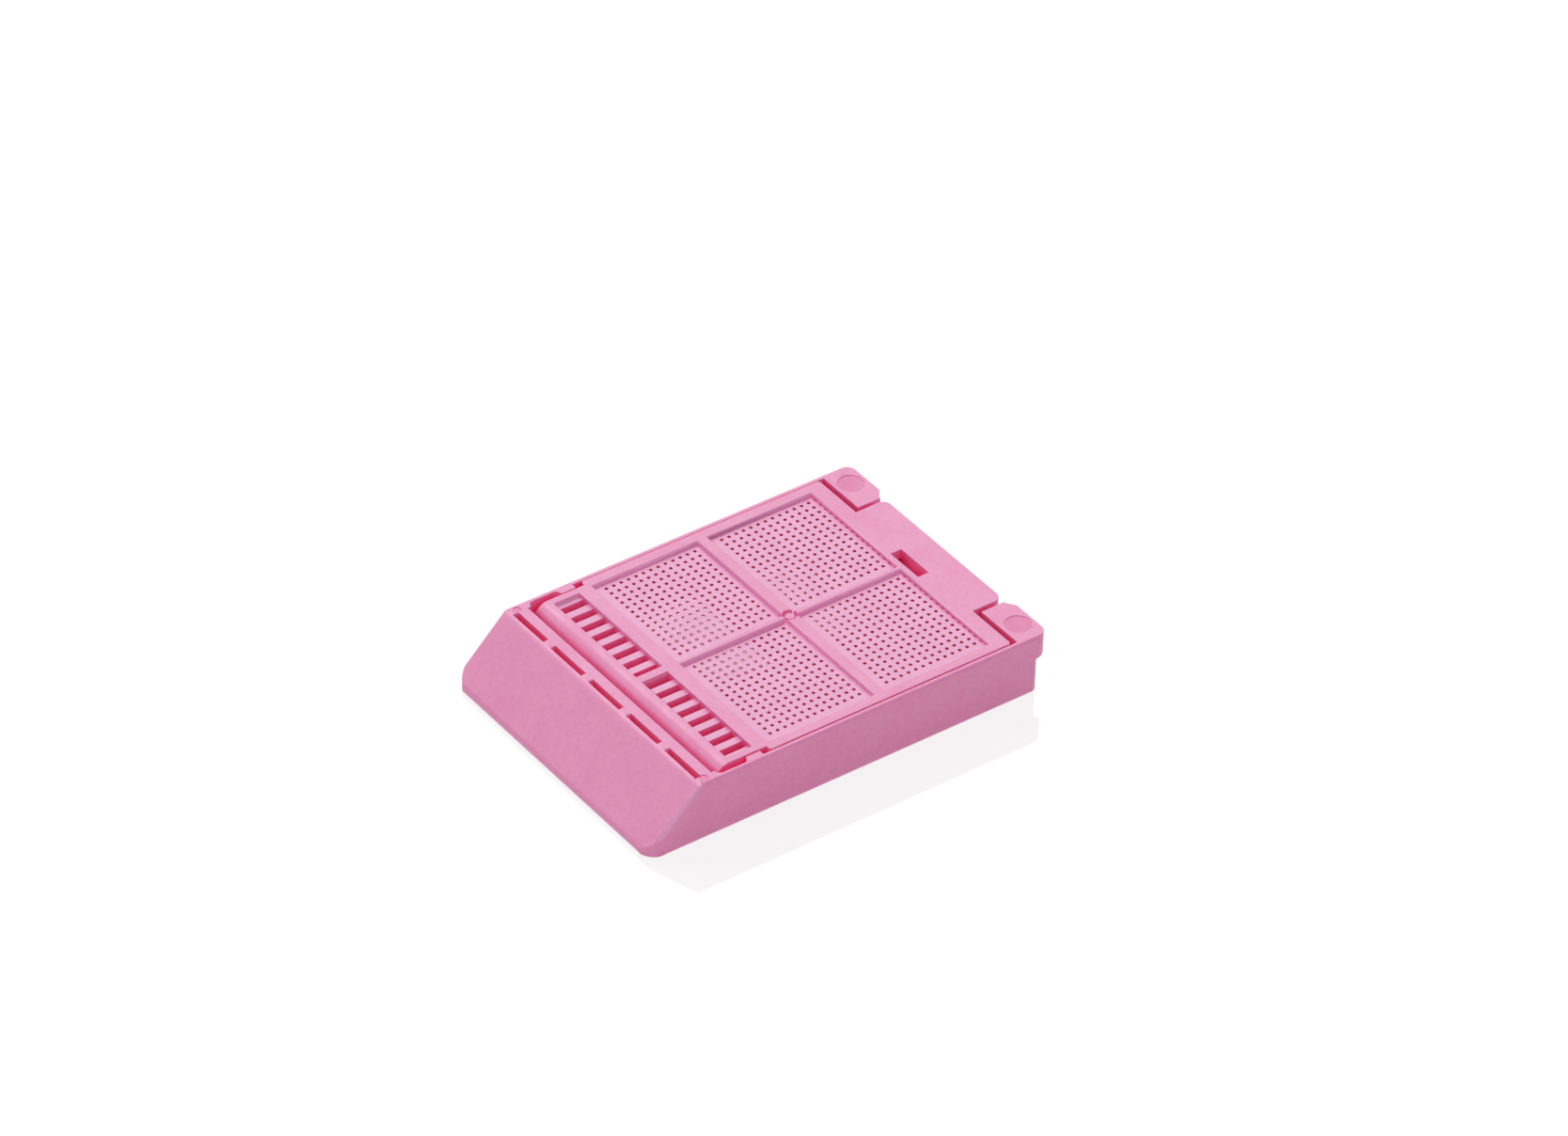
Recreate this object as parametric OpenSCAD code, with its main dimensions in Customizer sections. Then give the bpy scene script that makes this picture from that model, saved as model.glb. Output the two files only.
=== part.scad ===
// Biopsy tissue cassette: a mesh-floored base and a hinged mesh lid that snaps shut.
// Millimetres. X runs across, Y runs from the writing face to the latch, Z is up.
// The origin is at the middle of the footprint, on the table.

/* [Overall] */
// Width of the base across its long sides
base_w = 28.5; // [28:0.1:32]
// Length of the base from the foot of the writing face to the corner blocks
base_l = 41.2; // [40.4:0.1:46]
// Height of the base rim above the table
base_h = 5.8; // [5.6:0.1:7]
// How far the closed lid stands above the base rim
lid_proud = 0.05; // [0:0.05:0.2]

/* [Base shell] */
// Thickness of the side walls
wall = 1.2; // [1:0.05:1.4]
// Thickness of the walls that cross the base
cross_wall = 1; // [0.8:0.05:1.2]
// Thickness of the wall that carries the catch
catch_wall = 0.8; // [0.7:0.05:1]
// Width of the rim that stands beside the closed lid
rim = 0.5; // [0.4:0.05:0.6]
// Thickness of the floor frame round the mesh
floor_t = 0.8; // [0.7:0.05:1]
// Plan radius of the outer corners at the latch end
corner_r = 1.25; // [0.6:0.05:1.4]
// Plan radius of the outer corners at the foot of the writing face
foot_corner_r = 1.8; // [0.6:0.1:2.4]
// Fillet along the upper outer edges
edge_fillet = 0.3; // [0.1:0.05:0.4]
// Fillet along the foot of the outer walls
foot_fillet = 0.25; // [0.1:0.05:0.4]
// Plan radius of the corners inside the compartment
inner_r = 0.8; // [0.4:0.1:1.5]

/* [Writing face] */
// Slope of the writing face from the table
face_angle = 45; // [42:1:50]
// Height of the upright lip at the foot of the writing face
lip_h = 0.7; // [0.4:0.05:0.9]
// Thickness of the writing face
face_wall = 1; // [0.8:0.05:1.2]
// Radius where the writing face turns into the rail
face_top_r = 1.4; // [0.6:0.1:1.8]
// Radius where the writing face turns into its lip
face_foot_r = 0.8; // [0.4:0.1:1.4]
// Fillet along the two side edges of the writing face
face_edge_r = 0.4; // [0.2:0.05:0.6]
// Thickness of the gussets behind the writing face
gusset_t = 0.8; // [0.6:0.05:1]

/* [Rail] */
// Width of the rail between the writing face and the lid's roll
rail_w = 1.8; // [1.6:0.05:2.2]
// Thickness of the rail's top over the hollow
rail_t = 0.8; // [0.6:0.05:1]
// Thickness of the wall behind the rail's slots
rail_wall = 1; // [0.8:0.05:1.1]
// Number of slots in the rail
rail_slots = 5; // [3:1:7]
// Width of each rail slot
rail_slot_w = 0.55; // [0.4:0.05:0.6]
// Width of the bridges between the rail slots
rail_bridge = 1.04; // [0.9:0.02:1.6]
// Distance from the base's side to the end of the outer slots
rail_end = 1.05; // [0.9:0.05:1.4]

/* [Hinge] */
// Radius of the lid's front roll
roll_r = 1.35; // [1.1:0.05:1.4]
// Gap between the roll and the rail
roll_gap = 0.55; // [0.4:0.05:0.8]
// Radius of the hinge pins at the ends of the roll
pin_r = 0.55; // [0.4:0.05:0.6]
// Length of each hinge pin
pin_l = 0.4; // [0.3:0.05:0.45]
// Running clearance round and beyond the hinge pins
pin_gap = 0.06; // [0.04:0.01:0.1]
// Length of the relief beside each hinge pin
relief_l = 3.1; // [2.8:0.1:3.3]
// Depth of the relief beside each hinge pin
relief_d = 0.55; // [0.5:0.05:0.6]
// Radius of the relief's corners
relief_r = 0.5; // [0.3:0.05:0.5]

/* [Lid] */
// Thickness of the lid's frame
lid_t = 1; // [0.9:0.05:1.2]
// Gap between the lid's long edges and the rim
side_gap = 0.1; // [0.05:0.01:0.15]
// Gap under the lid where it rests in the base
seat_gap = 0.05; // [0.03:0.01:0.1]
// Thickness of the base's sides where the lid is narrow
shoulder = 1; // [0.95:0.05:1.1]
// Gap between the narrow front of the lid and the base's sides
shoulder_gap = 0.15; // [0.1:0.01:0.2]
// Length of the clear notch where the lid steps out to its full width
notch_l = 0.76; // [0.7:0.02:0.9]
// Plan radius of the lid's corners
lid_r = 0.3; // [0.2:0.05:0.5]
// Width of the lid's frame along its long edges
side_band = 1.02; // [0.7:0.01:1.2]
// Width of the plain band between the vents and the mesh
front_band = 1.48; // [1.4:0.02:1.8]
// Width of the plain band behind the mesh
rear_band = 1.6; // [1.5:0.05:2]
// Width of the rib across the lid between the mesh fields
cross_rib = 1.1; // [0.9:0.05:1.5]
// Width of the rib along the lid between the mesh fields
long_rib = 0.45; // [0.4:0.05:0.9]
// Depth of the mesh fields and the vent pockets below the lid's top
recess = 0.36; // [0.3:0.01:0.52]
// How far the side walls of each field lean in towards its mesh
recess_lean = 0.06; // [0.04:0.01:0.3]

/* [Mesh] */
// Pitch of the mesh holes
mesh_pitch = 0.765; // [0.74:0.005:1]
// Side of each square mesh hole
mesh_hole = 0.36; // [0.3:0.01:0.46]
// Thickness of the mesh
mesh_t = 0.22; // [0.2:0.01:0.35]
// Least plain border round the holes of a field
mesh_border = 0.6; // [0.5:0.05:0.7]
// Sideways place of the hole pattern from the middle of its field
mesh_shift_x = -0.2; // [-0.2:0.05:0.2]
// Lengthways place of the hole pattern from the middle of its field
mesh_shift_y = 0.15; // [-0.15:0.05:0.15]

/* [Vents] */
// Width of each vent slot in the lid
vent_w = 0.78; // [0.6:0.02:0.9]
// Width of the bars between the vent slots
vent_bar = 0.735; // [0.6:0.005:0.9]
// Length of the vent slots
vent_l = 2.6; // [2.2:0.05:2.8]
// Depth of the bars between the vent slots
vent_bar_h = 0.8; // [0.6:0.05:1]
// Distance from the hinge axis to the vent pockets
vent_setback = 0.2; // [0.1:0.05:0.3]
// Width of the bridge between the two vent pockets
vent_bridge = 0.84; // [0.6:0.02:1.2]
// Plain edge of the lid beside the vent pockets
vent_side = 0.65; // [0.5:0.05:0.8]

/* [Floor] */
// Height of the floor mesh above the table
floor_mesh_z = 0.1; // [0.05:0.05:0.2]
// Width of the solid cross between the floor's mesh fields
floor_rib = 1.5; // [1.2:0.1:2]
// Width of the plain ledge round the floor's mesh fields
floor_ledge = 0.25; // [0.15:0.05:0.4]
// Pitch of the floor's holes
floor_pitch = 0.75; // [0.74:0.005:1]
// Sideways place of the floor's hole pattern from the middle of its fields
floor_shift_x = 0.11; // [-0.2:0.01:0.2]
// Lengthways place of the floor's hole pattern from the middle of its fields
floor_shift_y = 0.29; // [-0.3:0.01:0.3]
// How far the floor's holes are gathered towards the cross
floor_gather = 0.13; // [0:0.01:0.2]

/* [Latch end] */
// Half the distance between the two corner blocks
block_in = 8.75; // [8:0.05:9.5]
// Length of the corner blocks
block_l = 3.07; // [2.8:0.01:3.4]
// Depth of the corner blocks where they overhang the rear wall
block_h = 2.3; // [1.8:0.05:2.6]
// How far the corner blocks overhang the rear wall
block_over = 0.67; // [0.55:0.02:0.9]
// Width of the cut corner at the inner rear of each block
block_cut_w = 1.05; // [0.5:0.05:1.2]
// Length of the cut corner at the inner rear of each block
block_cut_l = 0.8; // [0.4:0.05:1]
// Radius under the rear edge of each block
block_under_r = 0.85; // [0.3:0.05:1]
// Gap between the lid and the front of the blocks
block_gap = 0.56; // [0.4:0.02:0.7]
// Gap between the lid's tab and the inner faces of the blocks
tab_gap = 0.45; // [0.3:0.05:0.6]
// How far the lid's tab stops short of the blocks' rear faces
tab_short = 0.5; // [0.3:0.05:0.6]
// Radius of the tab's rear corners
tab_r = 0.8; // [0.4:0.05:1]
// Length of the latch window across the lid
window_l = 3.9; // [3:0.1:5]
// Width of the latch window
window_w = 1.12; // [0.9:0.02:1.3]
// Distance from the mesh to the latch window
window_off = 0.59; // [0.4:0.01:0.65]
// How far the latch hook reaches down below the lid
hook_drop = 1.45; // [1.2:0.05:1.8]
// Thickness of the latch hook
hook_t = 0.8; // [0.6:0.05:0.9]
// How far the hook's barb stands out
barb = 0.25; // [0.15:0.01:0.3]
// Clearance between the barb and the catch on the base
latch_gap = 0.05; // [0.03:0.01:0.1]

/* [Marks] */
// Radius of the round ejector marks on the corner blocks
mark_r = 1.2; // [1:0.05:1.4]
// Distance of those marks from the base's side
mark_side = 2.4; // [2.1:0.1:2.8]
// Depth of the round ejector marks
mark_d = 0.07; // [0.03:0.01:0.1]
// Radius of the small round marks at the ends of the rail
rail_mark_r = 0.4; // [0.3:0.05:0.45]
// Diameter of the sunken round where the lid's ribs cross
hub_d = 1.35; // [1.1:0.05:1.4]
// Diameter of the gate pip in the sunken round
pip_d = 0.8; // [0.6:0.05:0.9]
// How far the gate pip stops short of the lid's top
pip_short = 0.15; // [0.1:0.05:0.3]

/* [Hidden] */
$fn = 64;
far = 60;                 // reach of the cutting shapes past the part
over = 0.5;               // how far a cut runs past the face it opens

// Heights
lid_top = base_h + lid_proud;
lid_under = lid_top - lid_t;
seat_z = lid_under - seat_gap;
axis_z = lid_top - roll_r;
mesh_top = lid_top - recess;
vent_under = mesh_top - vent_bar_h;
floor_mesh_top = floor_mesh_z + mesh_t;

// Places along the part, from the writing face to the latch end
front_y = -base_l / 2;
rear_y = base_l / 2;
face_top_y = front_y + (base_h - lip_h) / tan(face_angle);
rail_rear_y = face_top_y + rail_w;
slot_rear_y = rail_rear_y - rail_wall;
axis_y = rail_rear_y + roll_gap + roll_r;
vent_y = axis_y + vent_setback;
field_front_y = vent_y + vent_l + front_band;
block_y = rear_y - block_l;
lid_rear_y = block_y - block_gap;
field_rear_y = lid_rear_y - rear_band;
field_l = (field_rear_y - field_front_y - cross_rib) / 2;
rib_y = (field_rear_y + field_front_y) / 2;
comp_front_y = field_front_y - floor_ledge;
comp_rear_y = field_rear_y + floor_ledge;
shoulder_y = comp_front_y - cross_wall;
step_y = shoulder_y + notch_l;
body_rear_y = rear_y - block_over;
tab_rear_y = rear_y - tab_short;
latch_y = comp_rear_y + catch_wall;
window_y = field_rear_y + window_off;
hook_y = window_y + window_w;

// Places across the part
half_w = base_w / 2;
inner_x = half_w - wall;
rim_x = half_w - rim;
lid_x = rim_x - side_gap;
shoulder_x = half_w - shoulder;
nose_x = shoulder_x - shoulder_gap;
field_in_x = long_rib / 2 + recess_lean;
field_out_x = lid_x - side_band - recess_lean;
tab_x = block_in - tab_gap;

// Fields of mesh, as [low corner, high corner], in front of the cross rib and behind it
lid_fields = [[[field_in_x, field_front_y], [field_out_x, field_front_y + field_l]],
              [[field_in_x, field_rear_y - field_l], [field_out_x, field_rear_y]]];
floor_fields = [[[floor_rib / 2, comp_front_y + floor_ledge], [inner_x - floor_ledge, rib_y - floor_rib / 2]],
                [[floor_rib / 2, rib_y + floor_rib / 2], [inner_x - floor_ledge, comp_rear_y - floor_ledge]]];
covered_cols = 1;         // columns half hidden under the lid's rear band
vent_pitch = vent_w + vent_bar;
vent_in_x = vent_bridge / 2 + 0.06;
vent_out_x = nose_x - vent_side;
vents = floor((vent_out_x - vent_in_x + vent_bar) / vent_pitch);
rail_span = base_w - 2 * rail_end;
rail_slot_l = (rail_span - (rail_slots - 1) * rail_bridge) / rail_slots;
rail_pitch = rail_slot_l + rail_bridge;

pink = "hotpink";

// A length of the 2D shape, drawn in Y and Z, laid across the part from x0 to x1
module across(x0, x1) {
    translate([x0, 0, 0]) rotate([90, 0, 90]) linear_extrude(height = x1 - x0) children();
}

// A length of the 2D shape, drawn in X and Z, laid along the part from y0 to y1
module along(y0, y1) {
    translate([0, y1, 0]) rotate([90, 0, 0]) linear_extrude(height = y1 - y0) children();
}

// A length of the 2D shape, drawn in X and Y, stood up from z0 to z1
module upright(z0, z1) {
    translate([0, 0, z0]) linear_extrude(height = z1 - z0) children();
}

// A block between two corners
module block(low, high) {
    translate(low) cube(high - low);
}

// The children and their mirror image across the middle of the part
module both_sides() {
    children();
    mirror([1, 0, 0]) children();
}

function unit(v) = v / norm(v);
function turn(a, b, c) = acos(unit(a - b) * unit(c - b));

// A convex outline whose corners have their own radii, with true arcs
module rounded(points, radii) {
    n = len(points);
    function corner(i) = let (
        p = points[i],
        u = unit(points[(i + n - 1) % n] - p),
        v = unit(points[(i + 1) % n] - p),
        reach = radii[i] / tan(turn(p + u, p, p + v) / 2)
    ) radii[i] > 0 ? [p + u * reach, p + v * reach] : [p];
    union() {
        polygon([for (i = [0:n - 1]) each corner(i)]);
        for (i = [0:n - 1]) if (radii[i] > 0) {
            p = points[i];
            u = unit(points[(i + n - 1) % n] - p);
            v = unit(points[(i + 1) % n] - p);
            translate(p + unit(u + v) * radii[i] / sin(turn(p + u, p, p + v) / 2)) circle(r = radii[i]);
        }
    }
}

// A rectangle between two corners with one radius
module rounded_box(low, high, r) {
    rounded([low, [high.x, low.y], high, [low.x, high.y]], [r, r, r, r]);
}

function copies(length, pitch) = floor((length - 2 * mesh_border) / pitch) + 1;

// The mesh holes of a field and of its fellow across the middle, moved by shift, with extra columns behind
module holes(field, pitch, shift, extra = 0) {
    size = field[1] - field[0];
    middle = (field[0] + field[1]) / 2;
    rows = copies(size.x, pitch);
    cols = copies(size.y, pitch);
    for (side = [-1, 1], i = [0:rows - 1], j = [0:cols - 1 + extra])
        translate([side * middle.x + (i - (rows - 1) / 2) * pitch, middle.y + (j - (cols - 1) / 2) * pitch] + shift)
            square(mesh_hole, center = true);
}

// The vent slots of both pockets, drawn in plan
module vent_slots(y0, y1) {
    both_sides() for (i = [0:vents - 1])
        translate([vent_in_x + i * vent_pitch, y0]) square([vent_w, y1 - y0]);
}

// ---- Base -----------------------------------------------------------------

// The outer form of the tray, without its corner blocks
module tray_form() {
    top = base_h;
    intersection() {
        across(-half_w, half_w) rounded(
            [[front_y, 0], [body_rear_y, 0], [body_rear_y, top], [face_top_y, top], [front_y, lip_h]],
            [foot_fillet, foot_fillet, 0, face_top_r, min(face_foot_r, (lip_h - foot_fillet) / tan(face_angle / 2))]);
        upright(0, top) rounded(
            [[-half_w, front_y], [half_w, front_y], [half_w, body_rear_y], [-half_w, body_rear_y]],
            [foot_corner_r, foot_corner_r, corner_r, corner_r]);
        along(front_y, body_rear_y) side_form(top);
        translate([0, front_y, lip_h]) rotate([face_angle, 0, 0]) along(-far, far) side_form(0, far);
    }
}

// The section across the part, with filleted upper edges
module side_form(top, depth = base_h) {
    rounded([[-half_w, top - depth], [half_w, top - depth], [half_w, top], [-half_w, top]],
            depth == base_h ? [foot_fillet, foot_fillet, edge_fillet, edge_fillet]
                            : [0, 0, face_edge_r, face_edge_r]);
}

// One corner block, which overhangs the rear wall
module corner_block() {
    under = base_h - block_h;
    intersection() {
        upright(under, base_h) rounded(
            [[block_in, block_y], [half_w, block_y], [half_w, rear_y],
             [block_in + block_cut_w, rear_y], [block_in, rear_y - block_cut_l]],
            [0, 0, corner_r, 0, 0]);
        across(block_in, half_w) rounded(
            [[block_y, under], [rear_y, under], [rear_y, base_h], [block_y, base_h]],
            [0, block_under_r, edge_fillet / 2, 0]);
        along(block_y, rear_y) side_form(base_h);
    }
}

// The hollow behind the writing face, with its gussets left standing
module face_hollow() {
    inset = face_wall / sin(face_angle);
    roof = base_h - rail_t;
    slope_y = face_top_y + inset - (base_h - roof) / tan(face_angle);
    foot_y = face_top_y + inset - base_h / tan(face_angle);
    difference() {
        across(-inner_x, inner_x) polygon([[foot_y, -over], [foot_y, 0], [slope_y, roof],
            [slot_rear_y, roof], [slot_rear_y, -over]]);
        for (i = [1:rail_slots - 1]) translate([-rail_span / 2 + i * rail_pitch - rail_bridge / 2, 0, 0])
            block([-gusset_t / 2, front_y, -far], [gusset_t / 2, rail_rear_y, far]);
    }
}

// The slots through the rail
module rail_slot_cuts() {
    for (i = [0:rail_slots - 1]) upright(base_h - rail_t - rail_slot_w - over, base_h + over)
        translate([-rail_span / 2 + i * rail_pitch, slot_rear_y - rail_slot_w])
            square([rail_slot_l, rail_slot_w]);
}

// The space that the lid drops into
module lid_space() {
    upright(seat_z, far) {
        translate([-rim_x, shoulder_y]) square([2 * rim_x, block_y - shoulder_y]);
        translate([-block_in, block_y - over]) square([2 * block_in, block_l + 2 * over]);
    }
    block([-shoulder_x, rail_rear_y, floor_t], [shoulder_x, shoulder_y, far]);
}

// The relief and the cradle for one hinge pin
module hinge_seat() {
    upright(axis_z, far) rounded([[shoulder_x - over, axis_y - relief_l / 2], [shoulder_x + relief_d,
        axis_y - relief_l / 2], [shoulder_x + relief_d, axis_y + relief_l / 2],
        [shoulder_x - over, axis_y + relief_l / 2]], [0, relief_r, relief_r, 0]);
    translate([shoulder_x - over, axis_y, axis_z]) rotate([0, 90, 0])
        cylinder(r = pin_r + pin_gap, h = over + pin_l - shoulder_gap + 2 * pin_gap);
}

// The compartment and the chambers in front of it and behind it
module chambers() {
    upright(floor_t, far) rounded_box([-inner_x, comp_front_y], [inner_x, comp_rear_y], inner_r);
    block([-inner_x, latch_y, floor_t], [inner_x, body_rear_y - cross_wall, seat_z - cross_wall / 2]);
    block([-inner_x, latch_y, floor_t], [inner_x, block_y, far]);
    block([-block_in, latch_y, floor_t], [block_in, body_rear_y - cross_wall, far]);
    both_sides() block([block_in + cross_wall, latch_y, -over],
                       [inner_x, body_rear_y - cross_wall, floor_t + over]);
}

// Flow slots through the wall in front of the compartment and through the floor before it
module flow_slots() {
    upright(-over, floor_t + over) vent_slots(vent_y, vent_y + vent_l - cross_wall / 2);
    intersection() {
        upright(2 * floor_t, seat_z - floor_t) vent_slots(shoulder_y - over, comp_front_y + over);
        block([-far, shoulder_y - over, 0], [far, comp_front_y + over, far]);
    }
}

// The openings of the floor's four mesh fields
module floor_windows() {
    upright(-over, floor_t + over) both_sides() for (field = floor_fields)
        translate(field[0]) square(field[1] - field[0]);
}

// The floor's mesh
module floor_mesh() {
    upright(floor_mesh_z, floor_mesh_top) difference() {
        translate([-inner_x, comp_front_y]) square([2 * inner_x, comp_rear_y - comp_front_y]);
        for (i = [0, 1]) holes(floor_fields[i], floor_pitch,
            [floor_shift_x, floor_shift_y + (i == 0 ? floor_gather : -floor_gather)]);
    }
}

// The catch that the latch hook closes under
module catch() {
    tip = hook_y - barb - latch_gap;
    across(-window_l / 2 + latch_gap, window_l / 2 - latch_gap) polygon([
        [latch_y - over, seat_z - hook_drop / 2], [tip, seat_z - hook_drop / 2],
        [tip, seat_z - hook_drop / 4], [latch_y, seat_z], [latch_y - over, seat_z]]);
}

// The whole base
module base() {
    color(pink) {
        difference() {
            union() {
                tray_form();
                both_sides() corner_block();
            }
            face_hollow();
            rail_slot_cuts();
            lid_space();
            both_sides() hinge_seat();
            chambers();
            flow_slots();
            floor_windows();
            both_sides() {
                translate([half_w - mark_side, rear_y - block_l / 2, base_h - mark_d]) cylinder(r = mark_r, h = over);
                translate([half_w - rim - rail_mark_r / 2, rail_rear_y - rail_w / 2, base_h - mark_d])
                    cylinder(r = rail_mark_r, h = over);
            }
        }
        floor_mesh();
        catch();
    }
}

// ---- Lid ------------------------------------------------------------------

// The lid's outline in plan
module lid_outline() {
    translate([-nose_x, axis_y]) square([2 * nose_x, step_y - axis_y + over]);
    rounded_box([-lid_x, step_y], [lid_x, lid_rear_y], lid_r);
    rounded([[-tab_x, lid_rear_y - over], [tab_x, lid_rear_y - over], [tab_x, tab_rear_y], [-tab_x, tab_rear_y]],
            [0, 0, tab_r, tab_r]);
}

// The roll along the lid's front edge, with its hinge pins
module roll() {
    difference() {
        translate([-nose_x, axis_y, axis_z]) rotate([0, 90, 0]) cylinder(r = roll_r, h = 2 * nose_x);
        both_sides() block([vent_bridge / 2, axis_y - roll_r / 3, axis_z - roll_r - over],
                           [vent_out_x, axis_y + roll_r / 3, axis_z + roll_r / 3]);
    }
    both_sides() translate([nose_x - over, axis_y, axis_z]) rotate([0, 90, 0])
        cylinder(r = pin_r, h = pin_l + over);
}

// The four fields, cut through the frame, with walls that lean at the sides
module fields() {
    both_sides() for (field = lid_fields) along(field[0].y, field[1].y)
        polygon([[field_in_x, lid_under - over], [field_out_x, lid_under - over],
            [field_out_x, mesh_top], [field_out_x + recess_lean, lid_top],
            [field_out_x + recess_lean, lid_top + over], [field_in_x - recess_lean, lid_top + over],
            [field_in_x - recess_lean, lid_top], [field_in_x, mesh_top]]);
}

// The lid's mesh
module lid_mesh() {
    upright(mesh_top - mesh_t, mesh_top) difference() {
        translate([-lid_x + over, field_front_y - over])
            square([2 * (lid_x - over), field_rear_y - field_front_y + 2 * over]);
        holes(lid_fields[0], mesh_pitch, [mesh_shift_x, mesh_shift_y]);
        holes(lid_fields[1], mesh_pitch, [mesh_shift_x, mesh_shift_y], covered_cols);
    }
}

// The vent pockets and their slots
module vent_cuts() {
    both_sides() block([vent_bridge / 2, vent_y, mesh_top], [vent_out_x, vent_y + vent_l, far]);
    upright(vent_under - over, lid_top) vent_slots(vent_y, vent_y + vent_l);
}

// The latch hook under the window
module hook() {
    foot = lid_under - hook_drop;
    across(-window_l / 2, window_l / 2) polygon([
        [hook_y, lid_under + over], [hook_y, foot + hook_drop / 2 - latch_gap],
        [hook_y - barb, foot + hook_drop / 2 - barb], [hook_y - barb, foot + barb],
        [hook_y, foot], [hook_y + hook_t, foot], [hook_y + hook_t, lid_under + over]]);
}

// The whole lid
module lid() {
    color(pink) {
        difference() {
            union() {
                upright(lid_under, lid_top) lid_outline();
                block([-nose_x, axis_y, vent_under], [nose_x, vent_y + vent_l, lid_under + over]);
                roll();
            }
            fields();
            vent_cuts();
            block([-window_l / 2, window_y, lid_under - over], [window_l / 2, hook_y, far]);
            translate([0, rib_y, mesh_top]) cylinder(d = hub_d, h = far);
        }
        lid_mesh();
        hook();
        translate([0, rib_y, mesh_top - mesh_t / 2])
            cylinder(d = pip_d, h = mesh_t / 2 + recess - pip_short);
    }
}

base();
lid();
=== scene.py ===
"""The looks of a closed tissue cassette: a moulded base and a hinged mesh lid in pink acetal."""

import logging
import math
from abc import ABC, abstractmethod
from collections.abc import Iterable
from dataclasses import dataclass
from enum import Enum, IntEnum
from functools import cached_property

import bmesh
import bpy
from mathutils import Matrix, Vector


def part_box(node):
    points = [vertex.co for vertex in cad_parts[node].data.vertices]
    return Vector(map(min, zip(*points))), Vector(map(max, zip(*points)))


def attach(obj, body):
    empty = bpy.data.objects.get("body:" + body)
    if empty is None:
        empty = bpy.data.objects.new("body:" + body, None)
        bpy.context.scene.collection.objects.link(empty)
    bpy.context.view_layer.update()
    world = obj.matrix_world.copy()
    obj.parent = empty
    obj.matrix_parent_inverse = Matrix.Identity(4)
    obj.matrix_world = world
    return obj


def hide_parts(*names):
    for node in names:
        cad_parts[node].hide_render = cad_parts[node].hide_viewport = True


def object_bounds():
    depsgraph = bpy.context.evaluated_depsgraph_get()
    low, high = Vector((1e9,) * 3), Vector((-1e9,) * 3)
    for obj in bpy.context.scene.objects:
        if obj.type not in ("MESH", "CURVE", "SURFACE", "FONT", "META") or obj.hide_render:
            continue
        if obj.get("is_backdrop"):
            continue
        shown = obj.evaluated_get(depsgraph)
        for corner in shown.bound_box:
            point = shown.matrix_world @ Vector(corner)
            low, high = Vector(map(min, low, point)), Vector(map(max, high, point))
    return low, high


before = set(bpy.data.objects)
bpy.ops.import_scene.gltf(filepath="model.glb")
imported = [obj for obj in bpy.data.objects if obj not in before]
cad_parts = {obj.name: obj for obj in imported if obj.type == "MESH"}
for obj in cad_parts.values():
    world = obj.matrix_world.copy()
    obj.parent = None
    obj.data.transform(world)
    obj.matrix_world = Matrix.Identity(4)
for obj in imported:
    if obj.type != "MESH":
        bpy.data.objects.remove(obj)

log = logging.getLogger("cassette")

Colour = tuple[float, float, float, float]
Point = tuple[float, float, float]

MM = 0.001
WHITE: Colour = (1.0, 1.0, 1.0, 1.0)
LIGHT_BOUNCES = 40


class Facing(Enum):
    """The kinds of ray that see the studio's white, by the names of the Light Path's outputs."""

    CAMERA = "Is Camera Ray"
    GLOSS = "Is Glossy Ray"
    GLASS = "Is Transmission Ray"


class Finish(IntEnum):
    """The finishes on one moulding, in the order of its material slots."""

    BODY = 0
    WEB = 1
    MARK = 2
    HOLE_SIDE = 3
    FIELD_SIDE = 4
    EDGE = 5


@dataclass(frozen=True)
class EdgeBreak:
    """How edges are rounded: the radius in metres and the number of facets across it."""

    radius: float
    facets: int


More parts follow.
